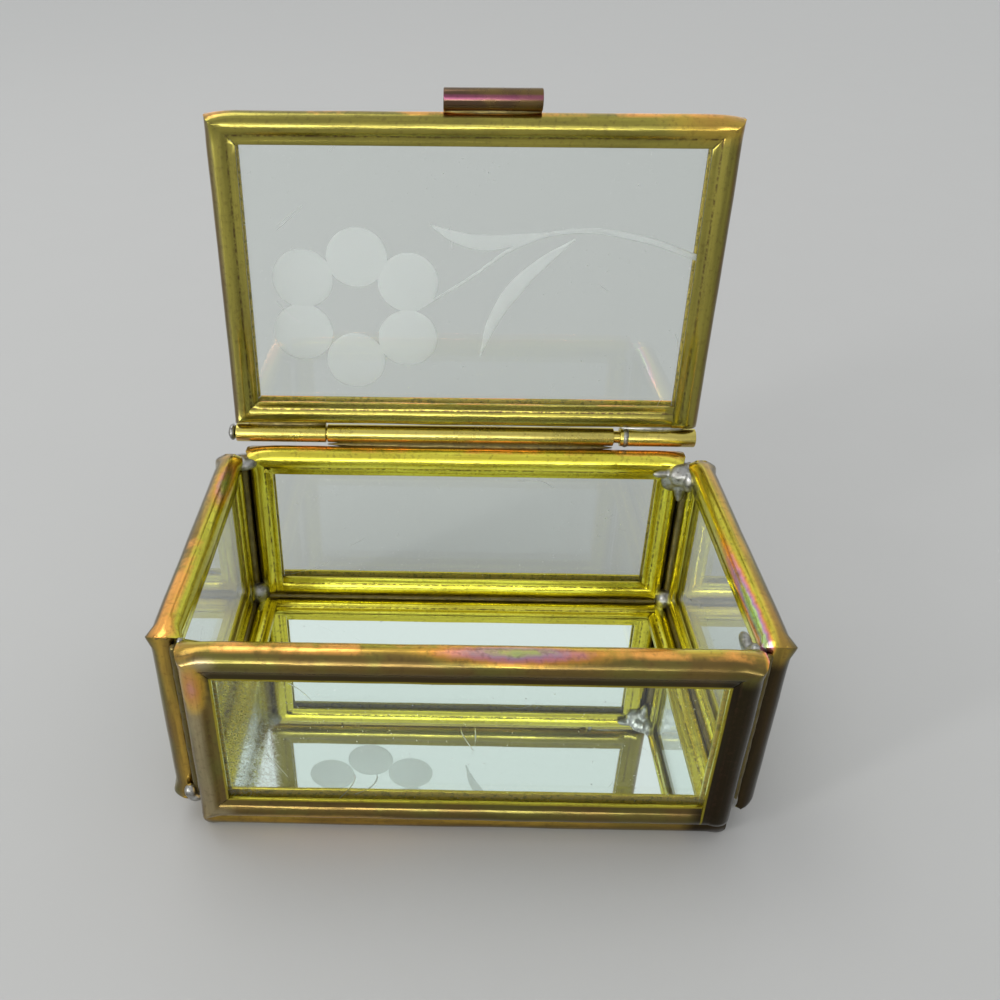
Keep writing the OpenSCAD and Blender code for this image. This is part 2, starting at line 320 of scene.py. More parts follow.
def draw_out(x=0.0, y=0.0, z=0.0):
    """Extrudes what is selected by a distance."""
    bpy.ops.mesh.extrude_region_move(TRANSFORM_OT_translate={"value": (x, y, z)})


def cut_off(point, outward):
    """Cuts the whole mesh with a plane and drops what lies beyond it."""
    bpy.ops.mesh.select_all(action="SELECT")
    bpy.ops.mesh.bisect(plane_co=point, plane_no=outward, clear_outer=True)


def place(piece, location, rotation=(0.0, 0.0, 0.0)):
    """Puts a piece in its place, and the place into its mesh."""
    activate(piece)
    piece.location = location
    piece.rotation_euler = rotation
    bpy.ops.object.transform_apply(location=True, rotation=True, scale=True)


def place_scaled(piece, scale):
    """Scales a piece, and the scale goes into its mesh."""
    activate(piece)
    piece.scale = scale
    bpy.ops.object.transform_apply(location=False, rotation=False, scale=True)


def apply_modifier(piece, kind, **settings):
    """Adds a modifier, sets it and applies it."""
    activate(piece)
    bpy.ops.object.modifier_add(type=kind)
    modifier = piece.modifiers[-1]
    for key, value in settings.items():
        setattr(modifier, key, value)
    bpy.ops.object.modifier_apply(modifier=modifier.name)


def make_consistent(piece):
    """Merges doubles and turns every face outward."""
    edit_all(piece)
    bpy.ops.mesh.remove_doubles(threshold=0.002 * MM)
    bpy.ops.mesh.normals_make_consistent(inside=False)
    leave_edit_mode()


def round_edges(piece, width, segments):
    """Rounds a piece's sharp edges."""
    apply_modifier(piece, "BEVEL", width=width, segments=segments, limit_method="ANGLE", angle_limit=SHARP)


def smooth(piece, degrees=35):
    """Shades a piece smooth but for its sharp edges."""
    activate(piece)
    bpy.ops.object.shade_smooth_by_angle(angle=math.radians(degrees))


def join(*pieces):
    """Joins pieces into the first one."""
    activate(*pieces)
    bpy.ops.object.join()
    return bpy.context.object


def coat(piece, *makers):
    """Adds finishes to a piece."""
    for maker in makers:
        piece.data.materials.append(finish_of(maker))


def finish_piece(piece, body, slot, maker, *nodes):
    """Gives a piece its finish and its body, and hides the nodes that it stands for. The slot is not used.
    """
    if maker is not None:
        coat(piece, maker)
    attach(piece, body)
    if nodes:
        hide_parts(*nodes)
    return piece


def dress(node, maker):
    """Gives a CAD node a better material."""
    for slot in frame["nodes"][node].material_slots:
        slot.material = finish_of(maker)


def uneven(piece, amount, size, seed):
    """Displaces a piece along its normals by a smooth noise."""
    dents = bpy.data.textures.new(piece.name + "_dents", "CLOUDS")
    dents.noise_scale = size * (1 + seed % 7 / 20)
    dents.noise_depth = 1
    apply_modifier(
        piece, "DISPLACE", texture=dents, texture_coords="LOCAL", strength=2 * amount, mid_level=0.5
    )


# Folded strips

# Rings near a square end, as shares of the rolled back's radius from the end
SQUARE_RINGS = (0.04, 0.14, 0.3, 0.6)


def hollow_reach(strip):
    """How far the crease of a strip lies beyond the middle of its rolled back."""
    return math.sqrt(STRIP_R**2 - strip.lip_face**2)


def round_length(strip):
    """Length of a strip's rolled back from its crown to the crease, measured round it."""
    return STRIP_R * (math.pi - math.atan2(strip.lip_face, hollow_reach(strip)))


def strip_section(strip):
    """The strip's section in the YZ plane: a rolled back at y = 0 and two lips towards +Y."""
    clear_selection()
    bpy.ops.mesh.primitive_circle_add(
        vertices=strip.roll_sides, radius=STRIP_R, location=(0, STRIP_R, 0), rotation=(0, UPRIGHT, 0)
    )
    piece = added("strip")
    bpy.ops.object.transform_apply(location=True, rotation=True, scale=True)
    crease = STRIP_R + hollow_reach(strip)
    pick(piece, lambda v: v.co.y > crease - 0.05 * MM)
    bpy.ops.mesh.delete(type="VERT")
    for side in (1, -1):
        leave_edit_mode()
        end = max((v for v in piece.data.vertices if v.co.z * side > 0), key=lambda v: v.co.y)
        start, tip = end.co.copy(), end.index
        pick(piece, lambda v: v.index == tip)
        draw_out(y=crease - start.y, z=side * strip.lip_face - start.z)
        for _ in range(2):
            draw_out(y=(strip.face_width - crease) / 2)
    leave_edit_mode()
    return piece


def girth(point, strip):
    """Distance of a point from the crown of the strip's back, measured round its section."""
    crease = STRIP_R + hollow_reach(strip)
    if point.y < crease:
        return STRIP_R * math.atan2(point.z, STRIP_R - point.y)
    return math.copysign(round_length(strip) + point.y - crease, point.z)


def strip_run(strip, long, start, end):
    """One straight run along X. An end is mitred, butted against a crossing run, or square."""
    piece = strip_section(strip)
    place(piece, (-long / 2, 0, 0))
    edit_all(piece)
    draw_out(x=long)
    leave_edit_mode()
    divide_long_edges(piece, 0, long, strip.step)
    write_run_map(piece, strip)
    bpy.ops.object.mode_set(mode="EDIT")
    for way, form in ((-1, start), (1, end)):
        if form == "mitre":
            cut_off((way * long / 2, 0, 0), (way, 1, 0))
        if form == "butt":
            cut_off((way * (long / 2 - strip.face_width - strip.butt_gap), 0, 0), (way, 0, 0))
        if form == "square":
            for share in SQUARE_RINGS:
                bpy.ops.mesh.select_all(action="SELECT")
                bpy.ops.mesh.bisect(plane_co=(way * (long / 2 - share * STRIP_R), 0, 0), plane_no=(1, 0, 0))
    leave_edit_mode()
    open_slits(piece, strip, long, start, end)
    return piece


def write_run_map(piece, strip):
    """A UV map in metres: along the strip, and round its section from the back's crown."""
    layer = piece.data.uv_layers.new(name="strip")
    for loop in piece.data.loops:
        point = piece.data.vertices[loop.vertex_index].co
        layer.data[loop.index].uv = (point.x, girth(point, strip))


def open_slits(piece, strip, long, start, end):
    """Draws the lips back from a mitre, so that a slit stays open there, and closes square ends."""
    crease = STRIP_R + hollow_reach(strip)
    near = 0.02 * MM
    for way, form in ((-1, start), (1, end)):
        edge = long / 2
        if form == "mitre":
            pick(piece, lambda v: v.co.y > crease + near and abs(edge - way * v.co.x - v.co.y) < near)
            bpy.ops.transform.translate(value=(-way * strip.slit / 2, 0, 0))
        if form == "square":
            for share in (0.0, *SQUARE_RINGS):
                ring = way * (edge - share * STRIP_R)
                room = (1 - (1 - share) ** strip.end_fullness) ** (1 / strip.end_fullness)
                pick(piece, lambda v: abs(v.co.x - ring) < near)
                bpy.ops.transform.resize(value=(1, 1, room), center_override=(ring, 0, 0))
        leave_edit_mode()


def pinch_corner(piece, strip, x, y, side):
    """Presses in the tip of a folded corner."""
    tip = Vector((x, y))
    press = (-math.copysign(side, x), -strip.droop if y > 0 else strip.lift, 0)
    reach = {"use_proportional_edit": True, "proportional_edit_falloff": "SHARP"}
    pick(piece, lambda v: (v.co.xy - tip).length < strip.tip_reach)
    bpy.ops.transform.translate(value=press, proportional_size=strip.pinch_reach, **reach)
    reach["proportional_edit_falloff"] = "SMOOTH"
    swell = (1, 1, 1 + strip.tip_fullness)
    bpy.ops.transform.resize(
        value=swell, center_override=(x, y, 0), proportional_size=strip.tip_fill, **reach
    )
    leave_edit_mode()


def strip_frame(name, wide, high, seed, flips=(), side=None):
    """A strip folded round a pane: three folded corners, and two ends that meet at +X, -Y."""
    strip = sizes("casket_strip")
    runs = (
        (wide, "mitre", "butt", (0, -high / 2, 0), 0),
        (high, "square", "mitre", (wide / 2, 0, 0), UPRIGHT),
        (wide, "mitre", "mitre", (0, high / 2, 0), 2 * UPRIGHT),
        (high, "mitre", "mitre", (-wide / 2, 0, 0), 3 * UPRIGHT),
    )
    made = []
    for long, start, end, location, turn in runs:
        run = strip_run(strip, long, start, end)
        place(run, location, (0, 0, turn))
        made.append(run)
    piece = join(*made)
    piece.name = piece.data.name = name
    pinched = ((-1, -1), (-1, 1), (1, 1), (1, -1)) if side else ((-1, -1), (-1, 1), (1, 1))
    for x, y in pinched:
        pinch_corner(piece, strip, x * wide / 2, y * high / 2, side or strip.pinch_side)
    if flips:
        pick(piece, lambda v: True)
        flipped = [-1 if axis in flips else 1 for axis in range(3)]
        bpy.ops.transform.resize(value=flipped, center_override=(0, 0, 0))
    make_consistent(piece)
    turn_outward(piece)
    uneven(piece, strip.wobble, strip.wobble_size, seed)
    coat(piece, strip_finish, raw_finish)
    apply_modifier(
        piece, "SOLIDIFY", thickness=strip.sheet, offset=-1.0, use_even_offset=True, material_offset=1
    )
    round_edges(piece, strip.lip_round, 2)
    smooth(piece)
    return piece


def turn_outward(piece):
    """Turns an open strip's faces away from its hollow."""
    crown = min(piece.data.polygons, key=lambda face: face.center.y)
    if crown.normal.y > 0:
        edit_all(piece)
        bpy.ops.mesh.flip_normals()
        leave_edit_mode()


# Node helpers

class Shading:
    """Adds nodes to a node tree, and links every input that is given as a socket."""

    def __init__(self, tree):
        self.tree = tree

    def add(self, kind, inputs=None, **settings):
        node = self.tree.nodes.new(kind)
        node.location = (200 * len(self.tree.nodes), 0)
        for key, value in settings.items():
            setattr(node, key, value)
        for key, value in (inputs or {}).items():
            self.feed(node.inputs[key], value)
        return node

    def feed(self, socket, value):
        if isinstance(value, bpy.types.NodeSocket):
            self.tree.links.new(value, socket)
        elif socket.type == "RGBA" and len(value) == 3:
            socket.default_value = (*value, 1.0)
        else:
            socket.default_value = value

    def math(self, operation, first, second=0.0, clamp=False):
        node = self.add("ShaderNodeMath", {0: first, 1: second}, operation=operation, use_clamp=clamp)
        return node.outputs[0]

    def times(self, first, *others):
        for other in others:
            first = self.math("MULTIPLY", first, other)
        return first

    def plus(self, first, second):
        return self.math("ADD", first, second)

    def away(self, value, middle):
        """Distance of a value from a middle, on either side."""
        return self.math("ABSOLUTE", self.math("SUBTRACT", value, middle))

    def vector(self, operation, first, second=(0, 0, 0)):
        node = self.add("ShaderNodeVectorMath", {0: first, 1: second}, operation=operation)
        return node.outputs["Value" if operation in ("LENGTH", "DOT_PRODUCT") else "Vector"]

    def split(self, vector):
        return self.add("ShaderNodeSeparateXYZ", {0: vector}).outputs

    def flat_place(self, along, across):
        return self.add("ShaderNodeCombineXYZ", {0: along, 1: across, 2: 0.0}).outputs[0]

    def mix(self, mask, first, second):
        return self.add("ShaderNodeMix", {0: mask, 6: first, 7: second}, data_type="RGBA").outputs[2]

    def cover(self, under, over, mask, share):
        """Lays one colour over another where the mask is, at a share of its strength."""
        return self.mix(self.times(mask, share), under, over)

    def span(self, value, low, high, to_low=0.0, to_high=1.0):
        """Maps low..high to to_low..to_high with soft ends."""
        ends = {"Value": value, "From Min": low, "From Max": high, "To Min": to_low, "To Max": to_high}
        return self.add("ShaderNodeMapRange", ends, interpolation_type="SMOOTHSTEP").outputs[0]

    def noise(self, vector, scale, detail=3.0, roughness=0.55):
        grain = {"Vector": vector, "Scale": scale, "Detail": detail, "Roughness": roughness}
        return self.add("ShaderNodeTexNoise", grain).outputs[0]

    def group(self, name, **inputs):
        return self.add("ShaderNodeGroup", inputs, node_tree=bpy.data.node_groups[name]).outputs

    def patches(self, vector, scale, low, high):
        return self.group("Patches", Vector=vector, Scale=scale, Low=low, High=high)[0]


class Finish(Shading):
    """A new material with a Principled shader. It knows where its surface is and how it faces."""

    def __init__(self, name):
        self.material = bpy.data.materials.new(name)
        self.material.use_nodes = True
        super().__init__(self.material.node_tree)
        self.shader = self.tree.nodes["Principled BSDF"].inputs
        surface = self.add("ShaderNodeTexCoord").outputs
        self.at, self.normal = surface["Object"], surface["Normal"]

    def raise_by(self, height, distance, strength=1.0):
        """Raises the surface by a height, with a bump."""
        bump = self.add("ShaderNodeBump", {"Height": height, "Distance": distance, "Strength": strength})
        self.feed(self.shader["Normal"], bump.outputs[0])

    def done(self, base, roughness, **constants):
        """Feeds the shader its colour and roughness, sets its constants and returns the material."""
        self.feed(self.shader["Base Color"], base)
        self.feed(self.shader["Roughness"], roughness)
        for name, value in constants.items():
            self.shader[name.replace("_", " ")].default_value = value
        return self.material


NUMBER, VECTOR, COLOUR = "NodeSocketFloat", "NodeSocketVector", "NodeSocketColor"


def new_group(name, given, puts_out):
    """A shader node group with named sockets. Returns its helper, its inputs and what it puts out."""
    tree = bpy.data.node_groups.new(name, "ShaderNodeTree")
    for in_out, sockets in (("INPUT", given), ("OUTPUT", puts_out)):
        for label, kind in sockets.items():
            tree.interface.new_socket(label, in_out=in_out, socket_type=kind)
    start = tree.nodes.new("NodeGroupInput")
    return Shading(tree), start.outputs, tree.nodes.new("NodeGroupOutput").inputs


def drawn_lines_group():
    """Fine lines along a strip or tube, from drawing the brass."""
    s, given, out = new_group(
        "Drawn lines", {"Along": NUMBER, "Across": NUMBER, "Pitch": NUMBER}, {"Mask": NUMBER}
    )
    place_on = s.flat_place(s.times(given["Along"], 60.0), s.times(given["Across"], given["Pitch"]))
    s.feed(out["Mask"], s.span(s.noise(place_on, 1.0, 4.0, 0.65), 0.32, 0.68))


def patches_group():
    """Soft-edged patches."""
    s, given, out = new_group(
        "Patches", {"Vector": VECTOR, "Scale": NUMBER, "Low": NUMBER, "High": NUMBER}, {"Mask": NUMBER}
    )
    cloud = s.noise(given["Vector"], given["Scale"], 5.0, 0.6)
    s.feed(out["Mask"], s.span(cloud, given["Low"], given["High"]))


def inward_group():
    """How much a surface looks into the box, how much it looks up, and whether it is on the lid."""
    s, given, out = new_group(
        "Inward", {"Vector": VECTOR, "Normal": VECTOR}, {"Mask": NUMBER, "Upward": NUMBER, "Lid": NUMBER}
    )
    flat = s.vector("MULTIPLY", given["Vector"], (1.0, 1.0, 0.0))
    facing = s.vector("DOT_PRODUCT", given["Normal"], flat)
    upward = s.split(given["Normal"])[2]
    far = s.split(s.vector("ABSOLUTE", given["Vector"]))
    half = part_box("base_mirror")[1]
    beyond = s.math("MAXIMUM", s.math("SUBTRACT", far[0], half.x), s.math("SUBTRACT", far[1], half.y))
    floor = s.times(s.span(beyond, 0.5 * MM, -0.5 * MM), s.span(far[2], 6 * MM, 4.5 * MM))
    floor = s.times(floor, s.span(upward, 0.0, 0.6))
    s.feed(out["Mask"], s.math("MAXIMUM", s.span(facing, 6 * MM, -14 * MM), floor))
    s.feed(out["Upward"], s.span(upward, 0.78, 0.97))
    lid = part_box("lid_came")[0].z
    s.feed(out["Lid"], s.span(far[2], lid - 0.6 * MM, lid))


# Colours of a heat tint and of the painted highlights drawn the same way, from its middle outward, each with
# its place, and the colour of its rim
HEAT_COLOURS = (
    (0.0, (0.20, 0.55, 0.36)), (0.22, (0.55, 0.72, 0.30)), (0.36, (0.60, 0.35, 0.60)),
    (0.48, (0.90, 0.30, 0.42)), (0.66, (0.98, 0.40, 0.08)), (0.82, (0.92, 0.56, 0.07)),
)
HEAT_RIM = (0.6, 0.45, 0.12)


def heat_and_highlight_group():
    """Rainbow tint round a spot that the soldering iron heated; also used to paint highlights."""
    s, given, out = new_group(
        "Heat tint and painted highlight", {"Vector": VECTOR, "Spot": VECTOR, "Stretch": VECTOR, "Reach": NUMBER, "First": NUMBER},
        {"Color": COLOUR, "Mask": NUMBER},
    )
    apart = s.vector("SUBTRACT", given["Vector"], given["Spot"])
    off = s.vector("LENGTH", s.vector("DIVIDE", apart, given["Stretch"]))
    ragged = s.math("SUBTRACT", s.noise(given["Vector"], 700.0, 4.0), 0.5)
    off = s.plus(off, s.times(ragged, s.times(given["Reach"], 0.3)))
    ring = s.math("DIVIDE", off, given["Reach"], clamp=True)
    hue = s.add("ShaderNodeMapRange", {"Value": ring, "To Min": given["First"], "To Max": 1.0}).outputs[0]
    ramp = s.add("ShaderNodeValToRGB", {0: hue})
    first, last = ramp.color_ramp.elements
    first.color = (*HEAT_COLOURS[0][1], 1.0)
    last.position, last.color = 1.0, (*HEAT_RIM, 1.0)
    for position, rgb in HEAT_COLOURS[1:]:
        ramp.color_ramp.elements.new(position).color = (*rgb, 1.0)
    s.feed(out["Color"], ramp.outputs[0])
    s.feed(out["Mask"], s.span(ring, 0.98, 0.55))


def dirt_group():
    """Dark dotted dirt that gathers in the crease of a strip."""
    s, given, out = new_group(
        "Crease dirt", {"Vector": VECTOR, "Across": NUMBER, "Crease": NUMBER, "Width": NUMBER},
        {"Mask": NUMBER},
    )
    line = s.span(s.away(s.math("ABSOLUTE", given["Across"]), given["Crease"]), given["Width"], 0.0)
    dots = s.span(s.noise(given["Vector"], 1500.0, 3.0, 0.7), 0.36, 0.60)
    s.feed(out["Mask"], s.times(line, dots))


def hairlines_group():
    """Curved hairlines and fine specks on glass."""
    s, given, out = new_group("Hairlines", {"Vector": VECTOR, "Scale": NUMBER}, {"Mask": NUMBER})
    line = s.span(s.away(s.noise(given["Vector"], given["Scale"], 1.0, 0.4), 0.5), 0.0016, 0.0004)
    rare = s.span(s.noise(s.vector("ADD", given["Vector"], (0.31, 0.17, 0.43)), 90.0, 2.0), 0.56, 0.64)
    specks = s.span(s.noise(given["Vector"], 2400.0, 2.0), 0.735, 0.76)
    s.feed(out["Mask"], s.math("MAXIMUM", s.times(line, rare), specks))


# Finishes

# Where the iron heated the strips, and two painted highlights drawn the same way: place, stretch along each
# axis, reach, first hue and strength
HEAT_AND_HIGHLIGHT_SPOTS = (
    ((0.006, -0.0262, 0.0362), (3.2, 0.5, 0.5), 0.0052, 0.0, 0.5),
    ((0.0388, -0.017, 0.0350), (0.30, 5.2, 0.5), 0.0050, 0.0, 0.92),
    ((0.036, 0.0305, 0.0905), (1.4, 1.0, 0.6), 0.0080, 0.55, 0.3),
    # Painted highlight: a pinkish line along the base strip's front.
    ((-0.020, -0.0280, 0.0040), (5.0, 0.8, 0.45), 0.0045, 0.55, 0.7),
    ((-0.0365, -0.0280, 0.0300), (0.6, 0.6, 1.4), 0.0045, 0.5, 0.6),
    ((-0.0395, 0.014, 0.0355), (0.5, 2.2, 0.5), 0.0045, 0.0, 0.45),
    # Painted highlight: an orange-gold stripe down the left wall's front stile.
    ((-0.0420, -0.0285, 0.0180), (0.35, 0.5, 4.2), 0.0046, 0.62, 0.85),
)

# Where parts of the strips' finish start, and where they are full
CROWN = (1.4 * MM, 0.2 * MM)
SHOULDER = (1.5 * MM, 0.3 * MM)
SHOULDER_MIDDLE = 2.9 * MM
LEFT_END = (-32 * MM, -35 * MM)
RIGHT_END = (31 * MM, 34 * MM)
RIGHT_RAIL = (36 * MM, 39 * MM)
NEAR_FRONT = (-16 * MM, -21 * MM)
UPPER_WALLS = (26 * MM, 31 * MM)
BELOW_LID = (42 * MM, 38 * MM)
BELOW_RAILS = (34 * MM, 31 * MM)
DUSTY_LEFT = (-22 * MM, -32 * MM)
FRONT_PANE = (-22 * MM, -25 * MM)


def strip_finish():
    """Lacquered brass strip: bright inside, bronze outside, with pink, olive and heat-tinted patches. Inside
    and outside differ partly by painted shade and reflection, the pink is partly painted sky reflection, and
    painted highlights and shade lie on the outside.
    """
    c, strip = sizes("casket_colours"), sizes("casket_strip")
    s = Finish("Aged brass strip")
    run = s.split(s.add("ShaderNodeUVMap", uv_map="strip").outputs[0])
    stretched = s.flat_place(s.times(run[0], 55.0), s.times(run[1], 420.0))
    streaks = s.span(s.noise(s.vector("ADD", stretched, s.at), 1.0, 4.0), 0.36, 0.64)
    lines = s.group("Drawn lines", Along=run[0], Across=run[1], Pitch=2600.0)[0]
    inward = s.group("Inward", Vector=s.at, Normal=s.normal)
    where = s.split(s.at)

    inner = s.cover(c.inner_brass, c.streak_and_lip_highlight_brass, streaks, 0.7)
    under_lid = s.cover(c.lid_brass, c.olive_brass, streaks, 0.6)
    outer = outside_of_strip(s, c, strip, s.math("ABSOLUTE", run[1]), where, streaks)
    # Dark bronze outside and bright inside: part tarnish, part painted shade outside and painted reflection
    # of bright light inside.
    base = s.mix(inward["Mask"], outer, s.mix(inward["Lid"], inner, under_lid))
    # Heat-tinted patches, with painted sky reflection: only up-facing faces get them, and brightly.
    pink_and_sky_sheen = s.times(s.patches(s.at, 120.0, 0.44, 0.60), inward["Upward"])
    pink_and_sky_sheen = s.times(pink_and_sky_sheen, s.span(where[0], *RIGHT_RAIL, 0.9, 0.12))
    base = s.cover(base, c.pink_tint_and_sheen_brass, pink_and_sky_sheen, s.span(where[2], *UPPER_WALLS))
    for spot, stretch, reach, first, strength in HEAT_AND_HIGHLIGHT_SPOTS:
        tint = s.group("Heat tint and painted highlight", Vector=s.at, Spot=spot, Stretch=stretch, Reach=reach, First=first)
        base = s.cover(base, tint["Color"], tint["Mask"], strength)
    base = s.cover(base, c.dark_brass, lines, 0.16)
    base = s.cover(base, c.dark_brass, s.patches(s.at, 1300.0, 0.52, 0.66), 0.25)
    dirt = s.group("Crease dirt", Vector=s.at, Across=run[1], Crease=round_length(strip), Width=0.30 * MM)[0]
    base = s.cover(base, c.dark_brass, dirt, s.span(inward["Mask"], 0.2, 0.8, 0.35, 0.85))

    s.raise_by(s.plus(s.times(lines, 0.10), s.times(s.noise(s.at, 260.0, 2.0), 0.6)), 0.25 * MM, 0.28)
    rough = s.plus(s.plus(s.times(lines, 0.06), s.times(streaks, 0.08)), 0.11)
    return s.done(base, rough, Metallic=1.0)


def outside_of_strip(s, c, strip, across, where, streaks):
    """Colour of the strip outside: worn bright along its back with a painted highlight there, a painted
    highlight on the left ends' shoulders and along the lips' edges, and painted shade along the upper
    flanges and in the right front corner.
    """
    crease = round_length(strip)
    outer = s.mix(s.patches(s.at, 95.0, 0.42, 0.62), c.outer_brass, c.olive_brass)
    # Painted highlight: a pale stripe along the shoulder of the strips' left ends.
    shoulder_highlight = s.span(s.away(across, SHOULDER_MIDDLE), *SHOULDER)
    outer = s.cover(outer, c.painted_highlight_brass, s.span(where[0], *LEFT_END), s.times(shoulder_highlight, 0.65))
    # Wear along the crown, with a painted highlight laid on it.
    outer = s.cover(outer, c.worn_and_highlight_brass, s.span(across, *CROWN), s.span(streaks, -0.2, 1.0, 0.8, 0.4))
    outer = s.cover(outer, c.dark_brass, streaks, 0.3)
    # Painted shade under the upper rails' rolls: their flanges are darkened nearly black.
    flange = s.span(across, crease - 0.25 * MM, crease + 0.35 * MM)
    top_edge = s.times(s.span(where[2], *UPPER_WALLS), s.span(where[2], *BELOW_LID))
    outer = s.cover(outer, c.painted_shade_brass, flange, s.times(top_edge, 0.75))
    # Painted shade: the right front corner is darkened, nearly black below the rails.
    corner = s.times(s.span(where[0], *RIGHT_END), s.span(where[1], *NEAR_FRONT))
    outer = s.cover(outer, c.painted_shade_brass, corner, s.span(where[2], *BELOW_RAILS, 0.15, 0.94))
    # Painted highlight: a bright line along the lips' cut edges outside.
    lip_end = crease + strip.face_width - STRIP_R - hollow_reach(strip)
    edge = s.span(across, lip_end - 0.40 * MM, lip_end - 0.22 * MM)
    return s.cover(outer, c.streak_and_lip_highlight_brass, edge, 0.7)


def raw_finish():
    """Dull brass inside the fold, seen through the edge of the glass."""
    c, s = sizes("casket_colours"), Finish("Dull brass in the fold")
    dots = s.patches(s.at, 1500.0, 0.50, 0.62)
    base = s.cover(c.fold_brass, c.olive_brass, dots, 0.6)
    return s.done(base, s.plus(s.times(dots, 0.15), 0.5), Metallic=0.35)


def tube_finish(name, body_colour, blotch_colour, tint, glint_height):
    """Drawn brass tube along X, with blotched lacquer and a band of painted reflection on its front, where
    the surface faces a given height.
    """
    c, s = sizes("casket_colours"), Finish(name)
    where = s.split(s.at)
    lines = s.group("Drawn lines", Along=where[0], Across=s.plus(where[1], where[2]), Pitch=2400.0)[0]
    blotch = s.patches(s.at, 150.0, 0.44, 0.66)
    base = s.cover(body_colour, blotch_colour, blotch, 0.5)
    # Painted reflection band: it follows the way the surface faces, not the metal.
    band = s.span(s.away(s.split(s.normal)[2], glint_height), 0.30, 0.08)
    base = s.cover(base, tint, band, s.span(where[0], -0.05, 0.01, 0.9, 0.5))
    base = s.cover(base, c.dark_brass, lines, 0.12)
    base = s.cover(base, c.dark_brass, s.patches(s.at, 1500.0, 0.56, 0.68), 0.25)
    s.raise_by(lines, 0.03 * MM, 0.2)
    return s.done(base, s.plus(s.times(blotch, 0.10), 0.20), Metallic=1.0)


def hinge_tube_finish():
    """Brass of the hinge tubes and their pin, with a painted orange reflection on its lower front."""
    c = sizes("casket_colours")
    return tube_finish("Hinge tube", c.tube_brass, c.tube_blotch, c.tube_glint, -0.35)


def tab_finish():
    """The darkened lift tab, with a painted magenta highlight on its upper front."""
    c = sizes("casket_colours")
    return tube_finish("Darkened tab", c.tab_brass, c.outer_brass, c.tab_glint, 0.35)


def solder_finish(name, body_colour, cloud_colour):
    """Solder with bright and dark flecks."""
    c, s = sizes("casket_colours"), Finish(name)
    cloud = s.patches(s.at, 520.0, 0.38, 0.64)
    base = s.cover(body_colour, cloud_colour, cloud, 0.6)
    base = s.cover(base, c.solder_pits, s.patches(s.at, 1900.0, 0.54, 0.68), 0.6)
    s.raise_by(s.noise(s.at, 600.0, 3.0), 0.1 * MM)
    return s.done(base, s.plus(s.times(cloud, 0.2), 0.28), Metallic=1.0)


def grey_solder():
    """Bare solder."""
    c = sizes("casket_colours")
    return solder_finish("Grey solder", c.solder, c.solder_cloud)


def browned_solder():
    """Solder under brown lacquer."""
    c = sizes("casket_colours")
    return solder_finish("Browned solder", c.browned_solder, c.browned_cloud)


def glass_finish():
    """Clear pane glass with a few hairlines and specks, and dust on the front pane's left."""
    c, s = sizes("casket_colours"), Finish("Clear pane")
    marks = s.group("Hairlines", Vector=s.at, Scale=32.0)[0]
    where = s.split(s.at)
    dusty = s.times(s.span(where[0], *DUSTY_LEFT), s.span(where[1], *FRONT_PANE))
    dust = s.times(dusty, s.span(s.noise(s.at, 2200.0, 4.0, 0.7), 0.40, 0.64))
    haze = s.math("MAXIMUM", s.times(marks, 0.6), s.times(dust, 0.36))
    base = s.mix(s.math("MULTIPLY", haze, 1.2, clamp=True), c.glass, c.dust)
    return s.done(base, haze, Transmission_Weight=1.0, IOR=1.5)


def frost_finish():
    """Ground glass of the cut flower."""
    c, s = sizes("casket_colours"), Finish("Ground glass")
    grain = s.noise(s.at, 2500.0, 3.0)
    base = s.cover(c.frost, c.frost_grain, grain, 0.3)
    return s.done(base, s.plus(s.times(grain, 0.15), 0.50), Transmission_Weight=0.1, IOR=1.5)


def mirror_finish():
    """Silvered glass with small black specks."""
    c, s = sizes("casket_colours"), Finish("Silvered floor")
    specks = s.patches(s.at, 1100.0, 0.71, 0.74)
    base = s.mix(specks, c.mirror, c.mirror_speck)
    return s.done(base, s.plus(s.times(specks, 0.5), 0.02), Metallic=1.0)


def table_finish():
    """Pale table top with a faint grain."""
    c, s = sizes("casket_colours"), Finish("Pale table")
    return s.done(s.cover(c.table, c.table_grain, s.noise(s.at, 40.0, 3.0), 0.25), 0.55)


MADE = {}


def finish_of(maker):
    """The material that a maker gives, made when it is first asked for."""
    if maker not in MADE:
        MADE[maker] = maker()
    return MADE[maker]


# Operators

class CASKET_OT_finishes(bpy.types.Operator):
    """Builds the shared effects of the finishes"""

    bl_idname = "casket.finishes"
    bl_label = "Shared finishes"

    def execute(self, context):
        for build in (
            drawn_lines_group, patches_group, inward_group, heat_and_highlight_group, dirt_group, hairlines_group,
        ):
            build()
        return {"FINISHED"}


# The walls: how each strip is turned upright, along which axes it is flipped, and the seed of its dents
WALLS = (
    ("front", (UPRIGHT, 0, 0), (), 1),
    ("back", (UPRIGHT, 0, 0), (0,), 2),
    ("left", (UPRIGHT, 0, UPRIGHT), (), 3),
    ("right", (UPRIGHT, 0, UPRIGHT), (0,), 4),
)


class CASKET_OT_wall_strips(bpy.types.Operator):
    """Folds the four wall strips round their panes"""

    bl_idname = "casket.wall_strips"
    bl_label = "Wall strips"

    def execute(self, context):
        lap = sizes("casket_strip").fold_lap
        for side, turn, flips, seed in WALLS:
            node = f"{side}_came"
            size = cad_size(node)
            wide = max(size.x, size.y) - lap
            piece = strip_frame(f"{side}_strip", wide, size.z - lap, seed, flips)
            place(piece, cad_middle(node), turn)
            finish_piece(piece, "box", "brass_strip", None, node)
        return {"FINISHED"}


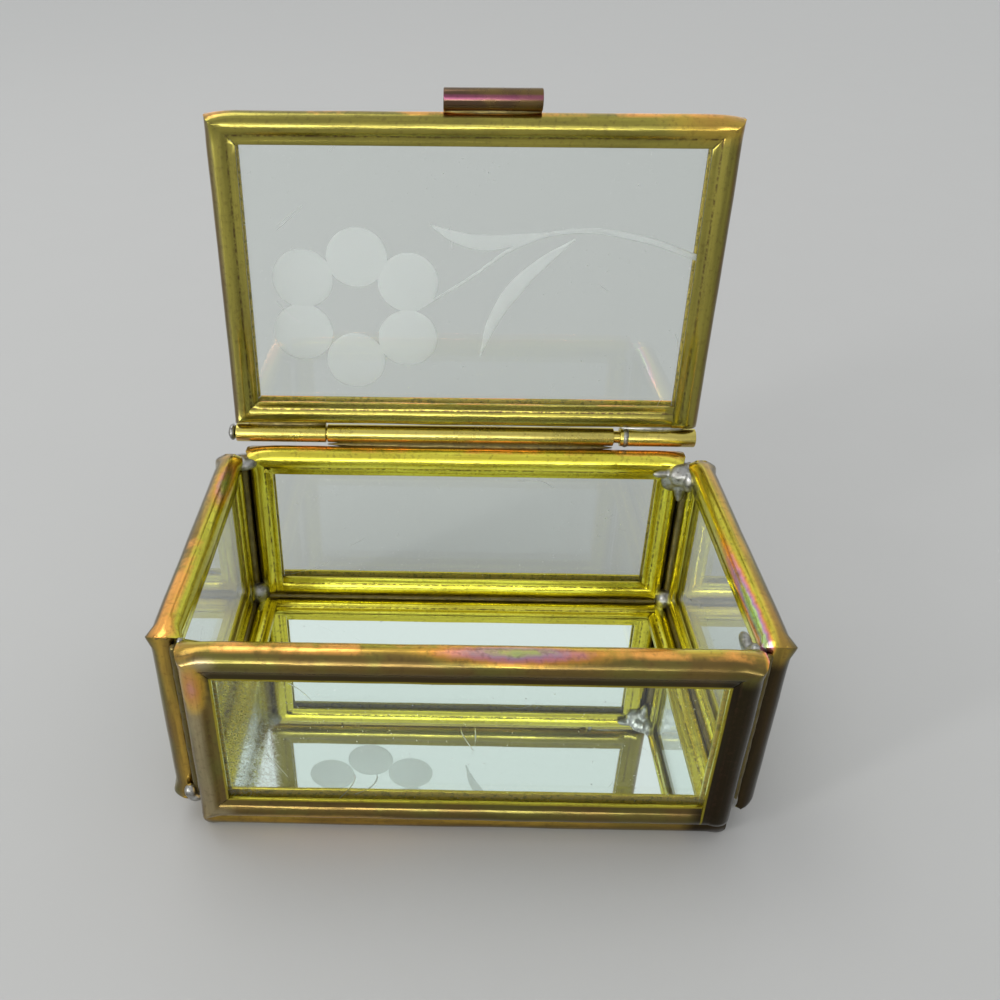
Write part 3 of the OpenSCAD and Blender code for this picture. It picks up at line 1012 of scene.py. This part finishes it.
class CASKET_OT_base_strip(bpy.types.Operator):
    """Folds the base strip round the mirror and wears its underside flat"""

    bl_idname = "casket.base_strip"
    bl_label = "Base strip"

    def execute(self, context):
        strip = sizes("casket_strip")
        size, middle = cad_size("base_came"), cad_middle("base_came")
        wide, deep = size.x - strip.fold_lap, size.y - strip.fold_lap
        piece = strip_frame("base_strip", wide, deep, 5, (0, 1), strip.base_side)
        place(piece, (middle.x, middle.y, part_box("base_came")[1].z - STRIP_R))
        pick(piece, lambda v: v.co.z < 0)
        bpy.ops.transform.resize(value=(1, 1, 0), center_override=(0, 0, 0))
        leave_edit_mode()
        finish_piece(piece, "box", "brass_strip", None, "base_came")
        return {"FINISHED"}


def lid_depth(node, thick):
    """Depth of a lid piece from the hinge to its front, from its leaning box and its thickness."""
    return (cad_size(node).z - thick * math.sin(LEAN)) / math.cos(LEAN)


class CASKET_OT_lid_strip(bpy.types.Operator):
    """Folds the lid strip round its pane"""

    bl_idname = "casket.lid_strip"
    bl_label = "Lid strip"

    def execute(self, context):
        lap = sizes("casket_strip").fold_lap
        wide, deep = cad_size("lid_came").x - lap, lid_depth("lid_came", 2 * STRIP_R) - lap
        piece = strip_frame("lid_strip", wide, deep, 6, (1,))
        place(piece, cad_middle("lid_came"), LID_TURN)
        finish_piece(piece, "lid", "brass_strip", None, "lid_came")
        return {"FINISHED"}


class CASKET_OT_panes(bpy.types.Operator):
    """Gives the wall panes their glass and the floor its silvering"""

    bl_idname = "casket.panes"
    bl_label = "Panes and mirror"

    def execute(self, context):
        for side in SIDES:
            dress(f"{side}_pane", glass_finish)
        dress("base_mirror", mirror_finish)
        return {"FINISHED"}


# Points of the stem and the leaves from the lid's middle, and each petal's drift, in millimetres
STEM = ((-9.3, 5.7), (0.1, -0.4), (7.9, -5.9), (16.4, -8.2), (26.8, -7.1), (38.0, -3.5))
FIRST_LEAF = ((-6.4, -9.0), (-2.4, -7.1), (2.2, -6.2), (7.2, -6.7), (12.2, -7.9))
SECOND_LEAF = ((2.2, 13.1), (4.0, 7.2), (7.4, 1.4), (11.6, -3.0), (16.6, -6.9))
PETAL_DRIFT = ((-0.2, -0.3), (0.4, 0.3), (0.5, 0.1), (0.4, 0.7), (-0.3, -0.4), (-0.7, -0.6))


class CASKET_OT_lid_pane(bpy.types.Operator):
    """Cuts the flower, its stem and its two leaves into the lid's pane"""

    bl_idname = "casket.lid_pane"
    bl_label = "Lid pane"

    def execute(self, context):
        glass = sizes("casket_glass")
        thick = cad_size("front_pane").y
        clear_selection()
        bpy.ops.mesh.primitive_cube_add(size=1)
        piece = added("lid_glass")
        place_scaled(piece, (cad_size("lid_pane").x, lid_depth("lid_pane", thick), thick))
        apply_modifier(piece, "BEVEL", width=glass.arris, segments=2)
        coat(piece, glass_finish, frost_finish)
        for cutter in flower_cutters(glass, thick / 2):
            apply_modifier(piece, "BOOLEAN", operation="DIFFERENCE", solver="EXACT", object=cutter)
            bpy.data.objects.remove(cutter)
        smooth(piece, 8)
        place(piece, cad_middle("lid_pane"), LID_TURN)
        finish_piece(piece, "lid", "glass", None, "lid_pane")
        return {"FINISHED"}


# How a ball is turned so that its poles lie on the X, Y or Z axis
POLES_ON = ((0, UPRIGHT, 0), (UPRIGHT, 0, 0), (0, 0, 0))


def ball(name, axis, segments, rings, radius=1.0):
    """A ball whose poles lie on an axis."""
    clear_selection()
    bpy.ops.mesh.primitive_uv_sphere_add(
        segments=segments, ring_count=rings, radius=radius, rotation=POLES_ON[axis]
    )
    piece = added(name)
    bpy.ops.object.transform_apply(rotation=True)
    return piece


# How broad the stem and a leaf are at each of their points, as shares of their width
STEM_SHARES = (0.3, 0.45, 0.6, 0.8, 1.0, 1.0)
LEAF_SHARES = (0.05, 0.7, 1.0, 0.7, 0.1)


def flower_cutters(glass, face):
    """The bodies that the wheel ground away: six discs, a stem and two leaves."""
    made = []
    for index, drift in enumerate(PETAL_DRIFT):
        turn = index * math.tau / len(PETAL_DRIFT)
        x = -glass.flower_left + glass.petal_ring * math.sin(turn) + drift[0] * MM
        y = glass.flower_low + glass.petal_ring * math.cos(turn) + drift[1] * MM
        petal = ball("petal", 2, 64, 24)
        place_scaled(petal, (glass.petal_radius, glass.petal_radius, glass.petal_depth))
        place(petal, (x, y, face))
        made.append(petal)
    for name, points, shares, width in (
        ("stem", STEM, STEM_SHARES, glass.stem_width),
        ("first_leaf", FIRST_LEAF, LEAF_SHARES, glass.leaf_width),
        ("second_leaf", SECOND_LEAF, LEAF_SHARES, glass.leaf_width),
    ):
        made.append(ground_line(name, points, shares, width, glass.cut_depth, face))
    for cutter in made:
        coat(cutter, glass_finish, frost_finish)
        for polygon in cutter.data.polygons:
            polygon.material_index = 1
    return made


def ground_line(name, points, shares, width, depth, face):
    """A cutter that runs along a curve. The shares say how broad it is at each point."""
    clear_selection()
    bpy.ops.curve.primitive_bezier_curve_add()
    curve = bpy.context.object
    line = curve.data.splines[0]
    line.bezier_points.add(len(points) - len(line.bezier_points))
    for knot, (x, y), share in zip(line.bezier_points, points, shares):
        knot.co = (x * MM, y * MM, 0)
        knot.handle_left_type = knot.handle_right_type = "AUTO"
        knot.radius = share
    line.resolution_u = 10
    curve.data.bevel_depth = width / 2
    curve.data.bevel_resolution = 5
    curve.data.use_fill_caps = True
    bpy.ops.object.convert(target="MESH")
    piece = added(name)
    place_scaled(piece, (1, 1, 2 * depth / width))
    place(piece, (0, 0, face))
    make_consistent(piece)
    return piece


class CASKET_OT_hinge(bpy.types.Operator):
    """Rolls the three hinge tubes and gives the pin their finish"""

    bl_idname = "casket.hinge"
    bl_label = "Hinge"

    def execute(self, context):
        hinge = sizes("casket_hinge")
        for node, body in (
            ("hinge_body_tube", "box"), ("hinge_left_tube", "lid"), ("hinge_right_tube", "lid"),
        ):
            piece = open_tube(node, TUBE_R, hinge.tube_bore, hinge.tube_round)
            finish_piece(piece, body, "brass_tube", hinge_tube_finish, node)
        dress("hinge_pin", hinge_tube_finish)
        return {"FINISHED"}


def open_tube(node, radius, bore, rounding):
    """A tube along X in a CAD node's place, with rounded rims."""
    size, middle = cad_size(node), cad_middle(node)
    clear_selection()
    bpy.ops.mesh.primitive_cylinder_add(
        vertices=64, radius=radius, depth=size.x, location=middle, rotation=(0, UPRIGHT, 0)
    )
    piece = added(node + "_rolled")
    bpy.ops.object.transform_apply(location=True, rotation=True, scale=True)
    pick(piece, lambda face: abs(face.normal.x) > 0.9, "FACE")
    bpy.ops.mesh.inset(thickness=radius - bore, use_individual=True)
    bpy.ops.mesh.bridge_edge_loops()
    leave_edit_mode()
    make_consistent(piece)
    round_edges(piece, rounding, 3)
    smooth(piece)
    return piece


class CASKET_OT_lift_tab(bpy.types.Operator):
    """Makes the tube that lifts the lid"""

    bl_idname = "casket.lift_tab"
    bl_label = "Lift tab"

    def execute(self, context):
        hinge = sizes("casket_hinge")
        piece = open_tube("lift_tab", TAB_R, hinge.tab_bore, hinge.tube_round)
        finish_piece(piece, "lid", "dark_brass", tab_finish, "lift_tab")
        return {"FINISHED"}


# Solder lumps in each corner, in millimetres: place in X and Y from the corner's middle, height, and reach
# along each axis
CORNER_LUMPS = {
    "front_left": (
        (0.8, 0.6, 32.8, 0.8, 0.9, 2.4), (-0.9, -0.5, 6.7, 1.0, 0.9, 1.3), (-0.3, -0.4, 5.7, 1.3, 0.9, 0.8),
    ),
    "front_right": (
        (-2.1, 3.4, 33.5, 0.8, 1.9, 1.1), (-1.4, 1.2, 33.3, 1.1, 1.6, 1.6), (-0.4, 0.4, 6.3, 1.2, 1.2, 1.9),
    ),
    "back_left": ((0.5, -0.4, 33.6, 2.4, 2.1, 1.3), (0.3, -0.8, 5.1, 2.5, 2.2, 2.2)),
    "back_right": (
        (-1.2, -0.9, 32.6, 2.7, 2.2, 2.2), (-2.9, -0.7, 31.6, 1.9, 1.1, 2.3),
        (-0.4, -2.2, 32.2, 1.3, 2.0, 2.1), (-4.2, -0.9, 32.6, 2.2, 0.7, 0.8),
        (-1.3, -1.3, 30.0, 1.0, 1.0, 2.8), (-0.3, -0.8, 5.1, 2.3, 2.1, 2.1),
    ),
}

# Solder along the hinge and the tab: node, body, finish and seed
LONG_BEADS = (
    ("hinge_seam_solder", "box", browned_solder, 11),
    ("hinge_left_solder", "lid", browned_solder, 12),
    ("hinge_right_solder", "lid", grey_solder, 13),
    ("lift_tab_solder", "lid", browned_solder, 14),
    ("pin_end_solder", "lid", grey_solder, 15),
)
LUMP_SIZE = 1.5 * MM
FINE_LUMP_SIZE = 0.5 * MM
BEAD_STEP = 0.6 * MM
RUN_SHARE = 0.94


class CASKET_OT_solder(bpy.types.Operator):
    """Runs solder into the corners and along the hinge and the tab"""

    bl_idname = "casket.solder"
    bl_label = "Solder"

    def execute(self, context):
        hinge = sizes("casket_hinge")
        for seed, corner in enumerate(CORNER_LUMPS):
            solder_corner(corner, hinge, seed)
        for side in SIDES:
            # Browned seams under the walls: solder, and also painted shade for the gap there.
            finish_piece(base_seam(side, hinge), "box", "solder", browned_solder)
        for node, body, maker, seed in LONG_BEADS:
            finish_piece(long_bead(node, hinge, seed), body, "solder", maker, node)
        return {"FINISHED"}


def solder_corner(corner, hinge, seed):
    """The grey lumps in a corner, and the browned run of solder down it."""
    node = f"{corner}_solder"
    middle = cad_middle(node)
    made = []
    for x, y, z, *reach in CORNER_LUMPS[corner]:
        centre = Vector((middle.x + x * MM, middle.y + y * MM, z * MM))
        made.append(solder_drop(centre, [r * MM for r in reach], hinge.lump_noise, seed + len(made)))
    piece = flow_together(join(*made), hinge)
    piece.name = f"{corner}_solder_lumps"
    finish_piece(piece, "box", "solder", grey_solder, node)
    seam = hinge.back_seam if middle.y > 0 else hinge.front_seam
    run = solder_bead(middle, 2, cad_size(node).z * RUN_SHARE, seam, hinge.lump_noise / 2, seed)
    run.name = f"{corner}_solder_run"
    finish_piece(run, "box", "solder", browned_solder)


def long_bead(node, hinge, seed):
    """The solder along a tube, or the cap on the pin. The right tube's also runs round its end."""
    size, rough = cad_size(node), hinge.lump_noise / 2
    bead = max(hinge.bead_radius, size.y / 2 if node == "pin_end_solder" else 0)
    piece = solder_drop(cad_middle(node), (size.x / 2, bead, bead), rough, seed)
    if node == "hinge_right_solder":
        axis = Vector((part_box("hinge_right_tube")[0].x + hinge.collar_width, *cad_middle("hinge_pin").yz))
        piece = join(piece, solder_drop(axis, (hinge.collar_width, hinge.collar, hinge.collar), rough, 3))
    piece.name = node + "_run"
    return piece


def flow_together(piece, hinge):
    """Melts overlapping drops into one lump with hollow flanks."""
    apply_modifier(piece, "REMESH", mode="VOXEL", voxel_size=hinge.lump_grain)
    apply_modifier(piece, "SMOOTH", factor=0.5, iterations=hinge.lump_flow)
    smooth(piece, 80)
    return piece


def base_seam(side, hinge):
    """The browned seam between a wall's lower edge and the base strip. Its dark bead also stands in as
    painted shade for the gap there.
    """
    wall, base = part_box(f"{side}_came"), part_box("base_came")
    middle, size = cad_middle(f"{side}_came"), cad_size(f"{side}_came")
    axis = 1 if side in ("front", "back") else 0
    outward = math.copysign(1, middle[axis])
    base_rod = (base[1] if outward > 0 else base[0])[axis] - outward * STRIP_R
    centre = Vector((0, 0, (wall[0].z + base[1].z) / 2))
    centre[axis] = (middle[axis] + base_rod) / 2
    long = size[1 - axis] - STRIP_R
    piece = solder_bead(centre, 1 - axis, long, hinge.base_seam, hinge.lump_noise / 2, 20 + axis + outward)
    piece.name = f"{side}_base_seam"
    return piece


def solder_bead(centre, axis, long, radius, rough, seed):
    """An even bead of solder along an axis, with round ends."""
    piece = ball("solder_bead", axis, 20, 13, radius)
    for way in (1, -1):
        shift = [0, 0, 0]
        shift[axis] = way * (long / 2 - radius)
        pick(piece, lambda v: way * v.co[axis] > 0)
        bpy.ops.transform.translate(value=shift)
        leave_edit_mode()
    divide_long_edges(piece, axis, long, BEAD_STEP)
    uneven(piece, rough, LUMP_SIZE, seed)
    place(piece, centre)
    smooth(piece, 80)
    return piece


def solder_drop(centre, reach, rough, seed):
    """An uneven drop of solder that reaches a distance along each axis."""
    longest = max(range(3), key=lambda axis: reach[axis])
    piece = ball("solder_drop", longest, 40, 16 + 6 * round(max(reach) / min(reach)))
    place_scaled(piece, reach)
    uneven(piece, rough, LUMP_SIZE, seed)
    uneven(piece, rough / 4, FINE_LUMP_SIZE, seed)
    place(piece, centre)
    smooth(piece, 80)
    return piece


class CASKET_OT_stage(bpy.types.Operator):
    """Sets up the table, the lights and the camera"""

    bl_idname = "casket.stage"
    bl_label = "Stage"

    def execute(self, context):
        stage = sizes("casket_stage")
        lay_table()
        set_sky(stage)
        add_light("window", (-0.30, 0.22, 0.85), (0.5, 0.35), stage.window_power)
        add_light("side_strip", (-0.62, -0.40, 0.22), (0.07, 0.5), stage.side_power)
        add_camera(stage)
        context.scene.view_settings.view_transform = "Standard"
        return {"FINISHED"}


def lay_table():
    """A wide pale table top."""
    clear_selection()
    bpy.ops.mesh.primitive_plane_add(size=40.0, location=(0, 0, 0))
    table = added("table_top")
    coat(table, table_finish)


def set_sky(stage):
    """Soft light from all round, paler behind and above, greyer on the camera's side."""
    world = bpy.data.worlds.new("Soft studio")
    world.use_nodes = True
    bpy.context.scene.world = world
    s = Shading(world.node_tree)
    way = s.split(s.add("ShaderNodeTexCoord").outputs["Generated"])
    lift = s.plus(s.times(way[1], 0.7), s.times(way[2], 0.5))
    lift = s.math("SUBTRACT", lift, s.times(way[0], 0.25))
    shade = s.mix(s.span(lift, -0.45, 0.75), stage.sky_front, stage.sky_back)
    glow = s.times(s.span(way[0], -0.85, -0.65), s.span(way[0], 0.32, 0.02), s.span(way[1], -0.3, -0.5))
    for strength, start, end in (
        (stage.front_glow, (0.02, 0.07), (0.62, 0.08)), (stage.front_line, (0.02, 0.05), (0.13, 0.10)),
    ):
        band = s.times(s.span(way[2], *start), s.span(way[2], *end))
        shade = s.cover(shade, [strength] * 3, glow, band)
    background = world.node_tree.nodes["Background"]
    s.feed(background.inputs["Color"], shade)
    background.inputs["Strength"].default_value = stage.sky


def add_light(name, location, size, power):
    """A soft rectangular light that looks at the box."""
    clear_selection()
    bpy.ops.object.light_add(type="AREA", location=location)
    light = bpy.context.object
    light.name = name
    light.data.shape = "RECTANGLE"
    light.data.size, light.data.size_y = size
    light.data.energy = power
    aim = Vector((0, 0, 0.03)) - Vector(location)
    light.rotation_euler = aim.to_track_quat("-Z", "Y").to_euler()


def add_camera(stage):
    """The camera at the photograph's viewing angle."""
    clear_selection()
    bpy.ops.object.camera_add(location=stage.eye)
    camera = bpy.context.object
    turn = (
        Matrix.Rotation(-stage.yaw, 3, "Z")
        @ Matrix.Rotation(UPRIGHT - stage.pitch, 3, "X")
        @ Matrix.Rotation(-stage.roll, 3, "Z")
    )
    camera.rotation_euler = turn.to_euler()
    camera.data.sensor_width = 36.0
    camera.data.sensor_fit = "HORIZONTAL"
    camera.data.lens = stage.lens
    camera.data.shift_x = stage.shift_x
    camera.data.shift_y = stage.shift_y
    camera.data.clip_start = 0.005
    camera.data.clip_end = 20.0
    bpy.context.scene.camera = camera


class CASKET_PT_panel(bpy.types.Panel):
    """Lists the sizes, the colours and the steps"""

    bl_idname = "CASKET_PT_panel"
    bl_label = "Glass casket"
    bl_space_type = "VIEW_3D"
    bl_region_type = "UI"
    bl_category = "Casket"

    def draw(self, context):
        for group in GROUPS:
            box = self.layout.box()
            for key in sizes(group).bl_rna.properties.keys():
                if key not in ("rna_type", "name"):
                    box.prop(sizes(group), key)
        for operator in OPERATORS:
            self.layout.operator(operator.bl_idname)


OPERATORS = (
    CASKET_OT_stage,
    CASKET_OT_finishes,
    CASKET_OT_wall_strips,
    CASKET_OT_base_strip,
    CASKET_OT_lid_strip,
    CASKET_OT_panes,
    CASKET_OT_lid_pane,
    CASKET_OT_hinge,
    CASKET_OT_lift_tab,
    CASKET_OT_solder,
)


def register():
    for kind in (*GROUPS.values(), *OPERATORS, CASKET_PT_panel):
        bpy.utils.register_class(kind)
    for name, kind in GROUPS.items():
        setattr(bpy.types.Scene, name, PointerProperty(type=kind))


def unregister():
    for name in GROUPS:
        delattr(bpy.types.Scene, name)
    for kind in reversed((*GROUPS.values(), *OPERATORS, CASKET_PT_panel)):
        bpy.utils.unregister_class(kind)


def main():
    register()
    for operator in OPERATORS:
        getattr(bpy.ops.casket, operator.bl_idname.split(".")[1])()


if __name__ == "__main__":
    main()
